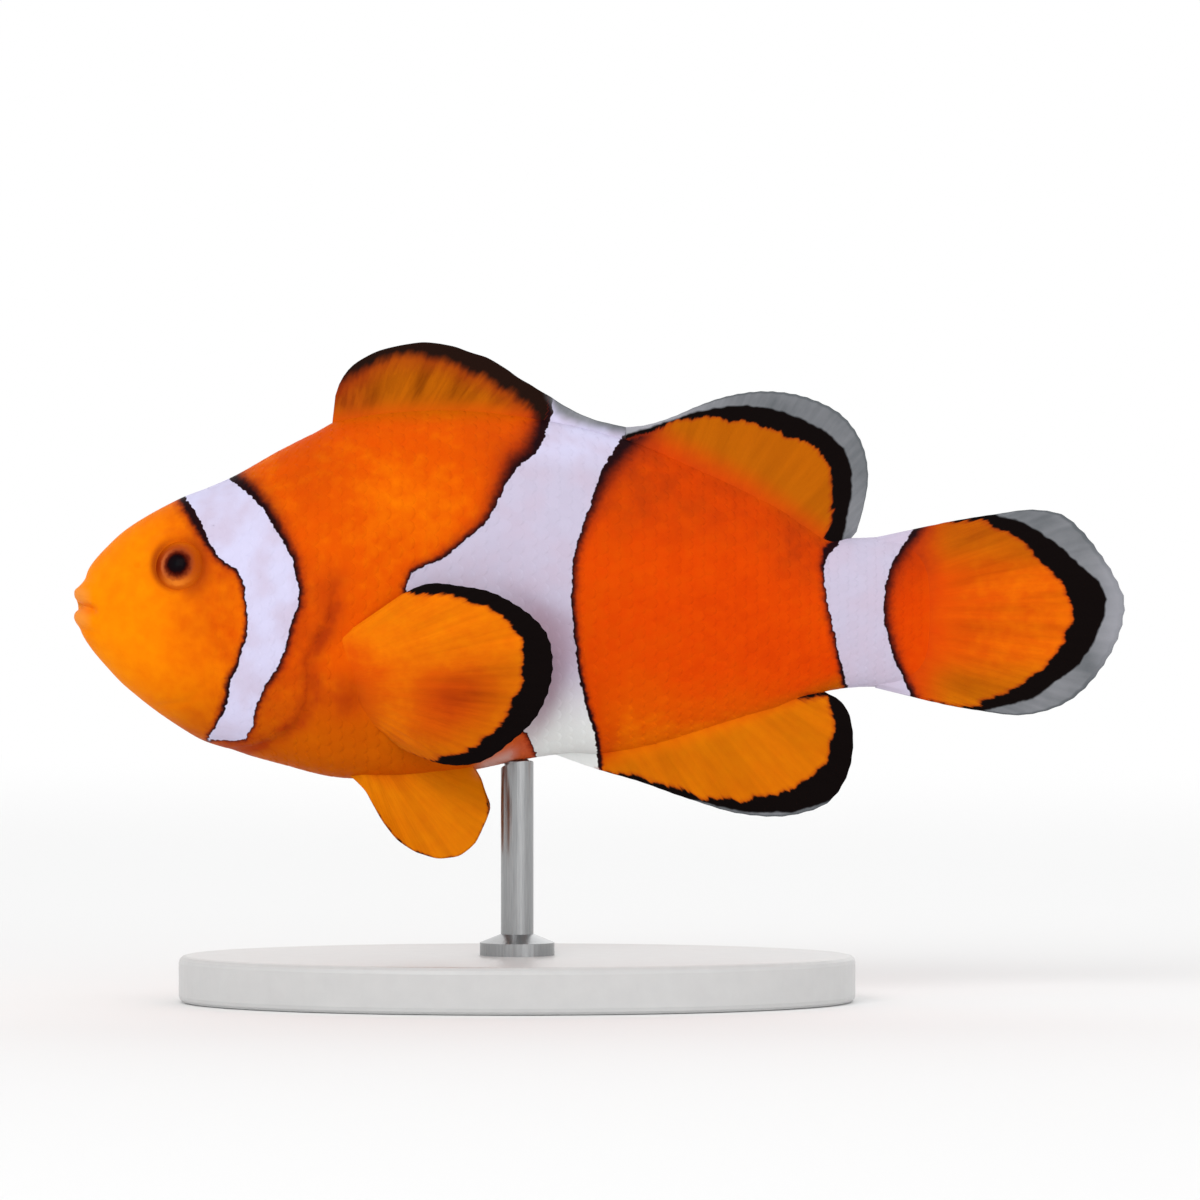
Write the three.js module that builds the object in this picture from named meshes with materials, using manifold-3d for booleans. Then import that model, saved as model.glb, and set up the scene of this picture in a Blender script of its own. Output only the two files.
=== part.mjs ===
// A life-size clownfish (Amphiprion ocellaris) on a plain display stand.
// Millimetres, +Z up. The snout points along -X, the left side faces -Y.
// The origin is the middle of the stand's underside.
import * as THREE from "three";
import { mergeVertices } from "three/addons/utils/BufferGeometryUtils.js";
import Module from "manifold-3d";

const wasm = await Module();
wasm.setup();

// ---- Driving dimensions ------------------------------------------------------------------

const ROD_STATION = 38; // from the snout tip back to the stand's rod
const AXIS_HEIGHT = 34; // from the floor up to the fish's long axis
const GAP = 0.3; // clearance between neighbouring pieces

const FLESH_LENGTH = 74.5; // snout tip to the end of the flesh in the tail's root
const CAP_START = 68; // where the flesh starts to round off into the tail's root
const RINGS = 40;
const SECTORS = 26;
const SNOUT_CROWDING = 1.7; // draws the rings together towards the snout

// Sections of the body: how far each lies behind the snout, the height of the back and the
// belly above the long axis, and half the body's width.
const SECTIONS = [
  { at: 0, back: 0.5, belly: -0.4, half: 0.3 },
  { at: 0.4, back: 1.6, belly: -2.2, half: 1.7 },
  { at: 1.8, back: 4, belly: -4.45, half: 2.95 },
  { at: 5, back: 6.85, belly: -7.45, half: 4.35 },
  { at: 9, back: 9.1, belly: -10.35, half: 5.5 },
  { at: 14, back: 11.3, belly: -12.7, half: 6.5 },
  { at: 22, back: 15.4, belly: -14.75, half: 7.3 },
  { at: 30, back: 16.65, belly: -14.95, half: 7.15 },
  { at: 40, back: 15.7, belly: -13.1, half: 6.3 },
  { at: 50, back: 13.05, belly: -11.8, half: 4.9 },
  { at: 60, back: 8.9, belly: -9, half: 3.5 },
  { at: 67, back: 6.05, belly: -7.2, half: 2.5 },
  { at: 74.5, back: 6.6, belly: -7.8, half: 1.9 },
];
const BACK_TAPER = 1.12; // above 1 draws the section to a ridge along the back
const BELLY_TAPER = 0.92; // below 1 fills the section out towards the belly

const HEAD_END = 23; // the cut between head and trunk
const STALK_START = 65; // the cut between trunk and tail stalk

const EYE = { at: 8.75, height: 3.5, side: 3.55, radius: 2.45, depth: 0.9 };

const MOUTH = { height: -0.2, notch: 0.75, opening: 0.9 };
const JAW_CORNER = { at: 3.3, height: -1.5 };
const JAW_JOINT = { at: 7.4, height: -5.2 };

const GILL_COVER_DEPTH = 1.3;
const GILL_COVER_REACH = 3; // the part of the side left of the midplane that it may take
// The gill cover's edge, clockwise from its upper front corner.
const GILL_COVER_EDGE = [
  [14.6, 3.4],
  [18.2, 5.6],
  [21.4, 4.4],
  [22.4, 1.2],
  [21.0, -3.6],
  [20.4, -7.3],
  [18.9, -10.3],
  [15.9, -11.4],
  [13.6, -8.4],
  [13.4, -2.4],
];

const ROOT_DEPTH = 1.6; // how far a fin's rays start below the skin
const RAY_ROOT_THICKNESS = 1.5;
const FIN_EDGE_THICKNESS = 0.55;

// The free edges of the fins, from the first ray's tip to the last one's: distance behind the
// snout, and height above the long axis.
const SPINY_DORSAL = {
  from: 21.9,
  to: 46.6,
  columns: 20,
  edge: [
    [22.2, 16.8],
    [22.9, 19.1],
    [24.1, 20.9],
    [27.4, 22.3],
    [31.4, 22.45],
    [34.8, 21.4],
    [38.6, 19.4],
    [42.6, 17.0],
    [47.1, 15.35],
  ],
};
const SOFT_DORSAL = {
  from: 47.3,
  to: 65.4,
  columns: 18,
  edge: [
    [47.45, 15.3],
    [51.2, 16.15],
    [55.4, 17.65],
    [59.4, 18.35],
    [63.2, 17.7],
    [65.9, 16.25],
    [67.6, 13.8],
    [68.1, 11.2],
    [67.4, 7.3],
  ],
};
const ANAL = {
  from: 43.6,
  to: 64.4,
  columns: 18,
  edge: [
    [43.8, -13.5],
    [48.2, -15.1],
    [52.6, -16.6],
    [57.4, -17.95],
    [61.8, -18.0],
    [64.8, -16.85],
    [66.6, -14.0],
    [66.7, -11.3],
    [65.4, -8.2],
  ],
};
const TAIL = {
  root: [
    [68.7, 5.8],
    [70.8, -0.7],
    [68.7, -7.1],
  ],
  columns: 22,
  edge: [
    [73.4, 6.85],
    [79.0, 7.75],
    [83.2, 8.1],
    [86.0, 7.0],
    [88.6, 4.0],
    [90.1, 1.0],
    [90.0, -1.0],
    [88.4, -4.9],
    [85.2, -8.1],
    [81.6, -9.4],
    [77.6, -9.0],
    [73.4, -8.2],
  ],
};
const PECTORAL = {
  root: [
    [22.4, -4.4],
    [22.6, -6.8],
    [23.4, -9.0],
  ],
  columns: 20,
  edge: [
    [27.4, 0.9],
    [30.6, 1.95],
    [34.6, 1.3],
    [38.2, -0.9],
    [40.3, -4.2],
    [40.4, -8.2],
    [38.4, -11.4],
    [34.6, -13.3],
    [30.6, -13.2],
    [27.4, -11.3],
  ],
  rootSide: 5.6, // half the distance between the two roots
  flare: 5.6, // how far the fin's edge stands out beyond its root
  flareReach: 16, // over what length it does so
  cup: 0.9,
};
const PELVIC = {
  root: [
    [24.2, -13.4],
    [26.0, -13.2],
    [27.8, -13.0],
  ],
  columns: 14,
  edge: [
    [25.1, -16.3],
    [26.3, -18.6],
    [28.4, -20.6],
    [31.7, -21.6],
    [34.3, -20.4],
    [35.6, -17.9],
    [34.8, -15.2],
  ],
  rootSide: 2.0,
  flare: 3.4,
  flareReach: 12,
  cup: 0.3,
};
const FIN_ROWS = 4;
const TAIL_SWAY = 0.5; // how far the tail's outer lobes bend to the sides

const STAND = {
  length: 58,
  width: 36,
  thickness: 4,
  chamfer: 0.6,
  rodRadius: 1.4,
  collarRadius: 3.2,
  collarHeight: 1.8,
};

// ---- Materials ---------------------------------------------------------------------------

const finish = (color, roughness, metalness = 0) =>
  new THREE.MeshStandardMaterial({ color, roughness, metalness });
const SKIN = finish(0xee6208, 0.45);
const FIN = finish(0xe07c0c, 0.5);
const EYEBALL = finish(0x1a100c, 0.08);
const LACQUER = finish(0xbebdbb, 0.4);
const STEEL = finish(0xb8babc, 0.3, 1);

// ---- Solids: to and from the boolean library ---------------------------------------------

function toSolid(geometry) {
  geometry.deleteAttribute("normal");
  geometry.deleteAttribute("uv");
  const merged = turnedOut(mergeVertices(geometry, 1e-4));
  return new wasm.Manifold(
    new wasm.Mesh({
      numProp: 3,
      vertProperties: merged.attributes.position.array,
      triVerts: new Uint32Array(merged.index.array),
    }),
  );
}

// The geometry with its faces pointing out, whichever way it was reshaped.
function turnedOut(geometry) {
  const { array } = geometry.index;
  const position = geometry.attributes.position;
  const [a, b, c] = [0, 1, 2].map(() => new THREE.Vector3());
  let volume = 0;
  for (let i = 0; i < array.length; i += 3) {
    a.fromBufferAttribute(position, array[i]);
    b.fromBufferAttribute(position, array[i + 1]);
    c.fromBufferAttribute(position, array[i + 2]);
    volume += a.dot(b.cross(c));
  }
  if (volume < 0) {
    for (let i = 0; i < array.length; i += 3) {
      [array[i + 1], array[i + 2]] = [array[i + 2], array[i + 1]];
    }
  }
  return geometry;
}

function toGeometry(solid) {
  const mesh = solid.getMesh();
  const position = new THREE.BufferAttribute(new Float32Array(mesh.vertProperties), 3);
  const geometry = new THREE.BufferGeometry();
  geometry.setAttribute("position", position);
  geometry.setIndex(new THREE.BufferAttribute(new Uint32Array(mesh.triVerts), 1));
  geometry.computeVertexNormals();
  return geometry;
}

// The largest body of a solid, without the crumbs that a cut can leave.
function largest(solid) {
  const bodies = solid.decompose();
  return bodies.reduce((best, body) => (body.volume() > best.volume() ? body : best));
}

// ---- The body ----------------------------------------------------------------------------

// A smooth curve through the sections' values. It is drawn over the square root of the
// distance, which rounds the snout.
function profile(key) {
  const curve = new THREE.SplineCurve(
    SECTIONS.map((section) => new THREE.Vector2(Math.sqrt(section.at), section[key])),
  );
  const line = curve.getPoints(400);
  return (at) => {
    const place = Math.sqrt(Math.max(at, 0));
    const next = line.findIndex((point) => point.x >= place);
    if (next <= 0) return next === 0 ? line[0].y : line.at(-1).y;
    const before = line[next - 1];
    const share = (place - before.x) / (line[next].x - before.x);
    return THREE.MathUtils.lerp(before.y, line[next].y, share);
  };
}
const backAt = profile("back");
const bellyAt = profile("belly");
const halfAt = profile("half");

// How far the flesh has closed at a station: 1 along the body, 0 at its end.
function closing(at) {
  const share = Math.max(0, (at - CAP_START) / (FLESH_LENGTH - CAP_START));
  return Math.sqrt(Math.max(0, 1 - share ** 2));
}

// The skin at a station and an angle from the back, grown outwards by some millimetres.
function skinPoint(at, angle, grow) {
  const rounded = closing(at);
  const middle = (backAt(at) + bellyAt(at)) / 2;
  const tall = ((backAt(at) - bellyAt(at)) / 2) * (0.55 + 0.45 * rounded) + grow;
  const wide = halfAt(at) * rounded + grow;
  const up = Math.cos(angle);
  const out = Math.sin(angle);
  const taper = THREE.MathUtils.lerp(BELLY_TAPER, BACK_TAPER, (up + 1) / 2);
  const across = Math.sign(out) * Math.abs(out) ** taper;
  const spread = at / FLESH_LENGTH;
  const x = at - grow + 2 * grow * spread;
  return new THREE.Vector3(x, across * wide, middle + up * tall);
}

// A sphere whose rings are moved onto the body's sections.
function bodySolid(grow = 0) {
  const geometry = new THREE.SphereGeometry(1, SECTORS, RINGS);
  const position = geometry.attributes.position;
  for (let i = 0; i < position.count; i++) {
    const along = Math.acos(THREE.MathUtils.clamp(position.getY(i), -1, 1)) / Math.PI;
    const at = FLESH_LENGTH * along ** SNOUT_CROWDING;
    const pole = along < 1e-4 || along > 1 - 1e-4;
    const angle = Math.atan2(position.getZ(i), position.getX(i));
    const point = skinPoint(at, angle, grow);
    if (pole) point.set(point.x, 0, (backAt(at) + bellyAt(at)) / 2);
    position.setXYZ(i, point.x, point.y, point.z);
  }
  return toSolid(geometry);
}

// ---- Shapes for cutting ------------------------------------------------------------------

const FAR = 60;

// A prism across the whole fish from a side-view shape of (station, height) points.
function prism(shape, from = -FAR, to = FAR, curveSegments = 6) {
  const geometry = new THREE.ExtrudeGeometry(shape, {
    depth: to - from,
    bevelEnabled: false,
    curveSegments,
  });
  geometry.rotateX(Math.PI / 2); // the shape's second axis becomes height, its depth -Y
  geometry.translate(0, to, 0);
  return toSolid(geometry);
}

const polygon = (points) => new THREE.Shape(points.map(([x, z]) => new THREE.Vector2(x, z)));

const stations = (from, to) =>
  prism(
    polygon([
      [from, -FAR],
      [to, -FAR],
      [to, FAR],
      [from, FAR],
    ]),
  );

// ---- Head, jaw, gill covers, trunk and tail stalk ----------------------------------------

const body = bodySolid();
const bodyGrown = bodySolid(GAP);

// Side view of the lower jaw, its upper and rear cuts moved out by a margin.
const jawShape = (out) =>
  polygon([
    [-5, MOUTH.height + out],
    [MOUTH.notch, MOUTH.height + out],
    [JAW_CORNER.at + out / 2, JAW_CORNER.height + out],
    [JAW_JOINT.at + out, JAW_JOINT.height + out / 2],
    [JAW_JOINT.at + out, -FAR],
    [-5, -FAR],
  ]);

const mouthNotch = prism(
  polygon([
    [-1, MOUTH.height + 2 * MOUTH.opening],
    [-1, MOUTH.height - 2 * MOUTH.opening],
    [MOUTH.notch, MOUTH.height],
  ]),
);

function gillCoverShape(out) {
  const middle = new THREE.Vector2(17.6, -3);
  const points = GILL_COVER_EDGE.map(([at, height]) => {
    const point = new THREE.Vector2(at, height);
    const away = point.clone().sub(middle).setLength(out);
    return point.add(away);
  });
  const loop = [...points, points[0]];
  return new THREE.Shape(new THREE.SplineCurve(loop).getPoints(22).slice(0, -1));
}

function eyeSolid(side, grow = 0) {
  const geometry = new THREE.SphereGeometry(EYE.radius + grow, 16, 10);
  geometry.scale(1, EYE.depth, 1);
  geometry.translate(EYE.at, side * EYE.side, EYE.height);
  return toSolid(geometry);
}

const SIDES = [
  { name: "left", side: -1 },
  { name: "right", side: 1 },
];

const underCovers = bodySolid(-GILL_COVER_DEPTH);
const underCoversGap = bodySolid(-GILL_COVER_DEPTH - GAP);

function gillCover(side, out, core) {
  const [from, to] = side < 0 ? [-FAR, -GILL_COVER_REACH] : [GILL_COVER_REACH, FAR];
  return prism(gillCoverShape(out), from, to).subtract(core);
}

let head = body.intersect(stations(-5, HEAD_END)).subtract(mouthNotch);
const lowerJaw = largest(head.intersect(prism(jawShape(0))));
head = head.subtract(prism(jawShape(GAP)));
for (const { side } of SIDES) {
  head = head.subtract(eyeSolid(side, GAP)).subtract(gillCover(side, GAP, underCoversGap));
}
const trunk = body.intersect(stations(HEAD_END + GAP, STALK_START));
const tailStalk = body.intersect(stations(STALK_START + GAP, FLESH_LENGTH + 5));

// ---- Fins --------------------------------------------------------------------------------

const curveThrough = (points) =>
  new THREE.SplineCurve(points.map(([at, height]) => new THREE.Vector2(at, height)));

// Rays of a fin on the back or belly start just under the skin, evenly spaced.
function rootsUnder(line, from, to, depth) {
  return (share) => {
    const at = THREE.MathUtils.lerp(from, to, share);
    return new THREE.Vector2(at, line(at) + depth);
  };
}

// A thin box whose columns are moved onto a fin's rays and whose rows run from root to edge.
// place(point, share, reach) says how far the fin's middle stands from the midplane.
function finSolid(rootAt, edge, columns, place) {
  const geometry = new THREE.BoxGeometry(1, 1, 1, columns, FIN_ROWS, 1);
  const position = geometry.attributes.position;
  for (let i = 0; i < position.count; i++) {
    const share = position.getX(i) + 0.5;
    const reach = position.getY(i) + 0.5;
    const sideways = position.getZ(i);
    const tip = edge.getPointAt(THREE.MathUtils.clamp(share, 0, 1));
    const point = rootAt(share).lerp(tip, reach);
    const thick = THREE.MathUtils.lerp(RAY_ROOT_THICKNESS, FIN_EDGE_THICKNESS, reach ** 0.7);
    const y = place(point, share, reach) + sideways * thick;
    position.setXYZ(i, point.x, y, point.y);
  }
  return toSolid(geometry);
}

const upright = () => 0;

function medianFin(spec, line, depth) {
  const roots = rootsUnder(line, spec.from, spec.to, depth);
  const sheet = finSolid(roots, curveThrough(spec.edge), spec.columns, upright);
  return largest(sheet.subtract(bodyGrown));
}

const spinyDorsal = medianFin(SPINY_DORSAL, backAt, -ROOT_DEPTH);
const softDorsal = medianFin(SOFT_DORSAL, backAt, -ROOT_DEPTH).subtract(
  stations(0, SPINY_DORSAL.edge.at(-1)[0] + GAP),
);
const analFin = medianFin(ANAL, bellyAt, ROOT_DEPTH);

// The tail's lobes bend gently to opposite sides.
const sway = (point, share, reach) => TAIL_SWAY * reach ** 2 * Math.sin(Math.PI * (share - 0.5));
const tailRoot = curveThrough(TAIL.root);
const tailRoots = (share) => tailRoot.getPointAt(share);
const tailSheet = finSolid(tailRoots, curveThrough(TAIL.edge), TAIL.columns, sway);
const tailFin = largest(tailSheet.subtract(bodyGrown));

// A paired fin stands out from the body with a flare that eases off, and is cupped a little.
function pairedFin(spec, side) {
  const root = curveThrough(spec.root);
  const start = spec.root[0][0];
  const place = (point, share, reach) => {
    const out = Math.min(1, Math.max(0, (point.x - start) / spec.flareReach));
    const ease = Math.sin((out * Math.PI) / 2);
    const cup = spec.cup * reach * (2 * share - 1) ** 2;
    return side * (spec.rootSide + spec.flare * ease - cup);
  };
  const sheet = finSolid(
    (share) => root.getPointAt(share),
    curveThrough(spec.edge),
    spec.columns,
    place,
  );
  return largest(sheet.subtract(bodyGrown));
}

// ---- Stand -------------------------------------------------------------------------------

function standBase() {
  const shape = new THREE.Shape();
  const inset = STAND.chamfer;
  shape.absellipse(0, 0, STAND.length / 2 - inset, STAND.width / 2 - inset, 0, 2 * Math.PI);
  const geometry = new THREE.ExtrudeGeometry(shape, {
    depth: STAND.thickness - 2 * inset,
    bevelThickness: inset,
    bevelSize: inset,
    bevelSegments: 3,
    curveSegments: 60,
  });
  geometry.translate(0, 0, inset);
  return toSolid(geometry);
}

// A rod with a collar at its foot, trimmed to the belly.
function standRod(belly) {
  const { rodRadius, collarRadius, collarHeight, thickness } = STAND;
  const profilePoints = [
    [0, thickness],
    [collarRadius, thickness],
    [collarRadius, thickness + collarHeight * 0.6],
    [rodRadius, thickness + collarHeight],
    [rodRadius, AXIS_HEIGHT],
    [0, AXIS_HEIGHT],
  ].map(([radius, height]) => new THREE.Vector2(radius, height));
  const geometry = new THREE.LatheGeometry(profilePoints, 40);
  geometry.rotateX(Math.PI / 2);
  return largest(toSolid(geometry).subtract(belly));
}

// ---- Assembly ----------------------------------------------------------------------------

const clownfish = new THREE.Group();
const fish = new THREE.Group();
fish.position.set(-ROD_STATION, 0, AXIS_HEIGHT);
clownfish.add(fish);

function addPiece(parent, name, solid, material) {
  const mesh = new THREE.Mesh(toGeometry(solid), material);
  mesh.name = name;
  parent.add(mesh);
}

addPiece(fish, "head", largest(head), SKIN);
addPiece(fish, "lower_jaw", lowerJaw, SKIN);
addPiece(fish, "trunk", trunk, SKIN);
addPiece(fish, "tail_stalk", tailStalk, SKIN);
addPiece(fish, "dorsal_fin_spiny", spinyDorsal, FIN);
addPiece(fish, "dorsal_fin_soft", largest(softDorsal), FIN);
addPiece(fish, "anal_fin", analFin, FIN);
addPiece(fish, "tail_fin", tailFin, FIN);
for (const { name, side } of SIDES) {
  const cover = body.intersect(gillCover(side, 0, underCovers));
  addPiece(fish, `gill_cover_${name}`, largest(cover), SKIN);
  addPiece(fish, `eye_${name}`, eyeSolid(side), EYEBALL);
  addPiece(fish, `pectoral_fin_${name}`, pairedFin(PECTORAL, side), FIN);
  addPiece(fish, `pelvic_fin_${name}`, pairedFin(PELVIC, side), FIN);
}

addPiece(clownfish, "stand_base", standBase(), LACQUER);
const bellyInPlace = bodyGrown.translate([-ROD_STATION, 0, AXIS_HEIGHT]);
addPiece(clownfish, "stand_rod", standRod(bellyInPlace), STEEL);

export default clownfish;
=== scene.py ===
import math

import bpy
import numpy as np
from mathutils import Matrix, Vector

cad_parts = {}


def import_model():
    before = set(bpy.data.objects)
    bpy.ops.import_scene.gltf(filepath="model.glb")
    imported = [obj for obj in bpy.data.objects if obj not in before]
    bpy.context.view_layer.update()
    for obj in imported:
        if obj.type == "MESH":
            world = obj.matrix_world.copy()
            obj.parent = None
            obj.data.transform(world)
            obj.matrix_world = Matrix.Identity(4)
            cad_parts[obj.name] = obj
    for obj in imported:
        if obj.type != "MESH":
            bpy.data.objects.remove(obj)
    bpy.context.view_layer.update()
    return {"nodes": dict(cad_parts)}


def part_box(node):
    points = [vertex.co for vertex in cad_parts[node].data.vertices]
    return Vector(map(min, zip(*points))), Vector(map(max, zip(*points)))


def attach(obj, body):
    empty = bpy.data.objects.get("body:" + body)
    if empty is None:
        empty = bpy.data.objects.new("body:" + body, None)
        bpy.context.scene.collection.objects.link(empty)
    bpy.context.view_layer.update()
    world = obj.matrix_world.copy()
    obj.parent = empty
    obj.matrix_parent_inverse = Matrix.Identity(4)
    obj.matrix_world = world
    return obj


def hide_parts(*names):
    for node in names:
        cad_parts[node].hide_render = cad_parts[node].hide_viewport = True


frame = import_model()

# A life-size clownfish over a plain stand, facing -X with its left side towards -Y.
# Its shape is worked out in millimetres: "at" runs from the snout's tip to the tail, "side"
# is +Y, and "height" is above the long axis. world() puts that into the frame.

MM = 0.001
rng = np.random.default_rng(11)

LEFT_EYE = (8.75, -3.55, 3.5)  # at, side and height of the middle of its solid
eye_low, eye_high = (np.array(corner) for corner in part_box("eye_left"))
ORIGIN = (eye_low + eye_high) / 2 - MM * np.array(LEFT_EYE)

# The camera looks square at the left side.
LENS, SENSOR = 180, 36
VIEW_WIDTH = 102.9  # of the plane between left and right
VIEW_MIDDLE = (45.1, 0.43)  # at and height
VIEWED_FROM = VIEW_WIDTH * LENS / SENSOR


def world(at, side, height):
    at, side, height = np.broadcast_arrays(at, side, height)
    return ORIGIN + MM * np.stack([at, side, height], -1)


# ---- Lines and distances in the side view ----


def ramp(value, low, high):
    """0 at low, 1 at high and smooth between them; low may be the larger of the two."""
    share = np.clip((value - low) / (high - low), 0, 1)
    return share * share * (3 - 2 * share)


def hump(distance, width):
    """1 where the distance is none, and next to nothing past twice the width."""
    return np.exp(-((distance / width) ** 2))


def smooth_line(points):
    """A smooth function through (place, value) points."""
    place, value = np.array(list(points), float).T
    slope = np.gradient(value, place)

    def line(where):
        where = np.clip(where, place[0], place[-1])
        i = np.clip(np.searchsorted(place, where, side="right") - 1, 0, len(place) - 2)
        gap = place[i + 1] - place[i]
        t = (where - place[i]) / gap
        ends = value[i] * (1 + 2 * t) * (1 - t) ** 2 + value[i + 1] * t * t * (3 - 2 * t)
        return ends + gap * (slope[i] * t * (1 - t) ** 2 + slope[i + 1] * t * t * (t - 1))

    return line


def smooth_path(points):
    """A smooth path through (at, height) points, walked evenly by shares from 0 to 1."""
    points = np.array(points, float)
    step = np.r_[0, np.cumsum(np.hypot(*np.diff(points, axis=0).T))]
    at_line, height_line = (smooth_line(zip(step, points[:, k])) for k in (0, 1))
    fine = np.linspace(0, step[-1], 600)
    walked = np.hypot(np.diff(at_line(fine)), np.diff(height_line(fine)))
    walked = np.r_[0, np.cumsum(walked)]

    def path(share):
        along = np.interp(share * walked[-1], walked, fine)
        return at_line(along), height_line(along)

    return path


def distance(at, height, points):
    """Distance to a line of the side view, positive on its right."""
    best = np.full(np.shape(at), np.inf)
    right = np.zeros(np.shape(at), bool)
    for (x0, z0), (x1, z1) in zip(points[:-1], points[1:]):
        dx, dz = x1 - x0, z1 - z0
        share = np.clip(((at - x0) * dx + (height - z0) * dz) / (dx * dx + dz * dz), 0, 1)
        gap = np.hypot(at - x0 - share * dx, height - z0 - share * dz)
        right = np.where(gap < best, dx * (height - z0) - dz * (at - x0) < 0, right)
        best = np.minimum(best, gap)
    return np.where(right, best, -best)


# ---- The body's shape ----

FLESH_LENGTH, CAP_START = 74.5, 68  # the body's end is rounded off inside the tail fin
COAT = 0.12  # depth of the scales over the skin
# Distance behind the snout, height of the back and of the belly, and half the width.
SECTIONS = [
    (0, 0.5, -0.4, 0.3),
    (0.4, 1.6, -2.0, 1.7),
    (1.8, 4.0, -4.25, 2.95),
    (5, 6.85, -7.45, 4.35),
    (9, 9.1, -10.35, 5.5),
    (14, 11.3, -12.55, 6.5),
    (18, 13.55, -13.7, 7.0),
    (22, 15.4, -14.7, 7.3),
    (30, 16.65, -14.95, 7.15),
    (40, 15.7, -13.1, 6.3),
    (50, 13.05, -11.8, 4.9),
    (60, 8.9, -8.9, 3.5),
    (65.3, 5.85, -7.35, 2.7),
    (67, 5.85, -7.15, 2.5),
    (74.5, 6.6, -7.8, 1.9),
]


def blunt_line(points):
    """A smooth line that starts steeply, as the body does at the snout."""
    line = smooth_line((math.sqrt(at), value) for at, value in points)
    return lambda at: line(np.sqrt(np.maximum(at, 0)))


back, belly, half_width = (blunt_line((row[0], row[k]) for row in SECTIONS) for k in (1, 2, 3))

# Turns run from the back (0) down the left side (0.25) to the belly (0.5) and up the right,
# in even steps along the skin of a section this wide and tall.
WIDE, TALL = 7.2, 15.6
ANGLES = np.linspace(0, 2 * math.pi, 2001)
WALKED = np.hypot(WIDE * np.cos(ANGLES[:-1]), TALL * np.sin(ANGLES[:-1]))
TURNS = np.r_[0, np.cumsum(WALKED)] / WALKED.sum()


def flesh(at, turn):
    """(at, side, height) of the body's plain surface."""
    angle = np.interp(turn % 1, TURNS, ANGLES)
    up, out = np.cos(angle), np.sin(angle)
    rounded = np.clip(1 - ((at - CAP_START) / (FLESH_LENGTH - CAP_START)) ** 2, 0, 1)
    rounded = np.where(at > CAP_START, rounded, 1)
    tall = (back(at) - belly(at)) / 2 * (0.55 + 0.45 * rounded) - COAT
    wide = np.maximum(half_width(at) * rounded - COAT, 0.02)
    taper = 1.02 + 0.1 * up
    side = -np.sign(out) * np.abs(out) ** taper * wide
    return np.stack([at + 0 * turn, side, (back(at) + belly(at)) / 2 + up * tall], -1)


def facing(at, turn):
    """The body's outward direction."""
    at = np.clip(at, 0.02, FLESH_LENGTH - 0.1)
    along = flesh(at + 0.01, turn) - flesh(at - 0.01, turn)
    around = flesh(at, turn + 0.001) - flesh(at, turn - 0.001)
    normal = np.cross(around, along)
    return normal / np.maximum(np.linalg.norm(normal, axis=-1, keepdims=True), 1e-12)


# The free edge of the gill cover, from its top corner down and forward under the throat.
GILL_EDGE = [
    (20.4, 6.0), (22.0, 4.4), (22.4, 2.4), (22.3, 0.2), (21.8, -1.6), (20.6, -3.4),
    (20.1, -4.9), (20.3, -6.5), (20.1, -8.4), (19.2, -9.8), (17.8, -10.9), (15.6, -11.8),
    (12.6, -12.3),
]
# The edge of the cheek bone in front of it.
CHEEK_EDGE = [(12.3, 2.2), (12.9, -0.5), (13.0, -3.4), (12.2, -6.2), (10.2, -8.2), (7.4, -8.6)]
EYE, NOSTRIL = (9.27, 3.42), (5.7, 3.4)


def away_from(at, height, spot):
    """Distance from a spot of the side view."""
    return np.hypot(at - spot[0], height - spot[1])


def above_mouth(at, height):
    """Height above the slit of the mouth, which falls a little towards its corner."""
    return height + 0.02 + 0.22 * at


def lips(at, height):
    """Two full lips, the slit between them, and the creases above and below."""
    mouth = above_mouth(at, height)
    front = ramp(at, 2.6, 1.0)
    rise = front * (0.2 * hump(mouth - 1.25, 0.4) + 0.1 * hump(mouth + 1.1, 0.5))
    rise -= front * (0.8 * hump(mouth + 0.02, 0.46) + 0.15 * hump(height - 2.3, 0.5))
    return rise - 0.06 * ramp(at, 3.4, 2.2) * hump(mouth + 1.9, 0.3)


def eye_socket(from_eye):
    """A hollow for the eyeball, with a raised rim and a faint furrow round it."""
    rim = 0.07 * hump(from_eye - 2.7, 0.4) - 0.03 * hump(from_eye - 3.3, 0.4)
    return rim - 0.35 * ramp(from_eye, 2.45, 1.95)


def nostril(at, height):
    from_middle = away_from(at, height, NOSTRIL)
    return 0.05 * hump(from_middle - 0.4, 0.16) - 0.2 * hump(from_middle, 0.22)


def gill_cover(at, height):
    """The edge of the cheek bone, and the free edge of the cover with the fold behind it."""
    cheek = distance(at, height, CHEEK_EDGE)
    cover = distance(at, height, GILL_EDGE)
    fade = ramp(height, 4.6, 0) * ramp(height, -12.6, -11)
    rise = fade * 0.26 * ramp(cover, -0.2, 0.2) * ramp(cover, 5.5, 0.5)
    rise -= fade * 0.14 * hump(cover + 0.45, 0.35)
    return rise - 0.1 * hump(cheek, 0.3) * ramp(np.abs(height + 3.5), 9.5, 6.5)


def bare_skin(at, height, from_eye):
    """Head and throat have no scales, so their skin lies nearer to the plain body."""
    bare = np.maximum(ramp(at, 12, 9), ramp(height, -8.5, -10.5) * ramp(at, 25, 22))
    return 0.1 * bare * ramp(at, 2.5, 4.5) * ramp(from_eye, 3, 5)


def keels(at, side, height):
    """The low ridges from which the upright fins grow."""
    along_back = ramp(at, 20.5, 23) * ramp(at, 65.5, 62.5)
    along_belly = ramp(at, 42.5, 45) * ramp(at, 62.5, 59.5)
    ridge = np.where(height > 0, along_back, along_belly) * hump(side, 1.15)
    return 0.35 * ridge * ramp(np.abs(height), 4, 6)


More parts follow.
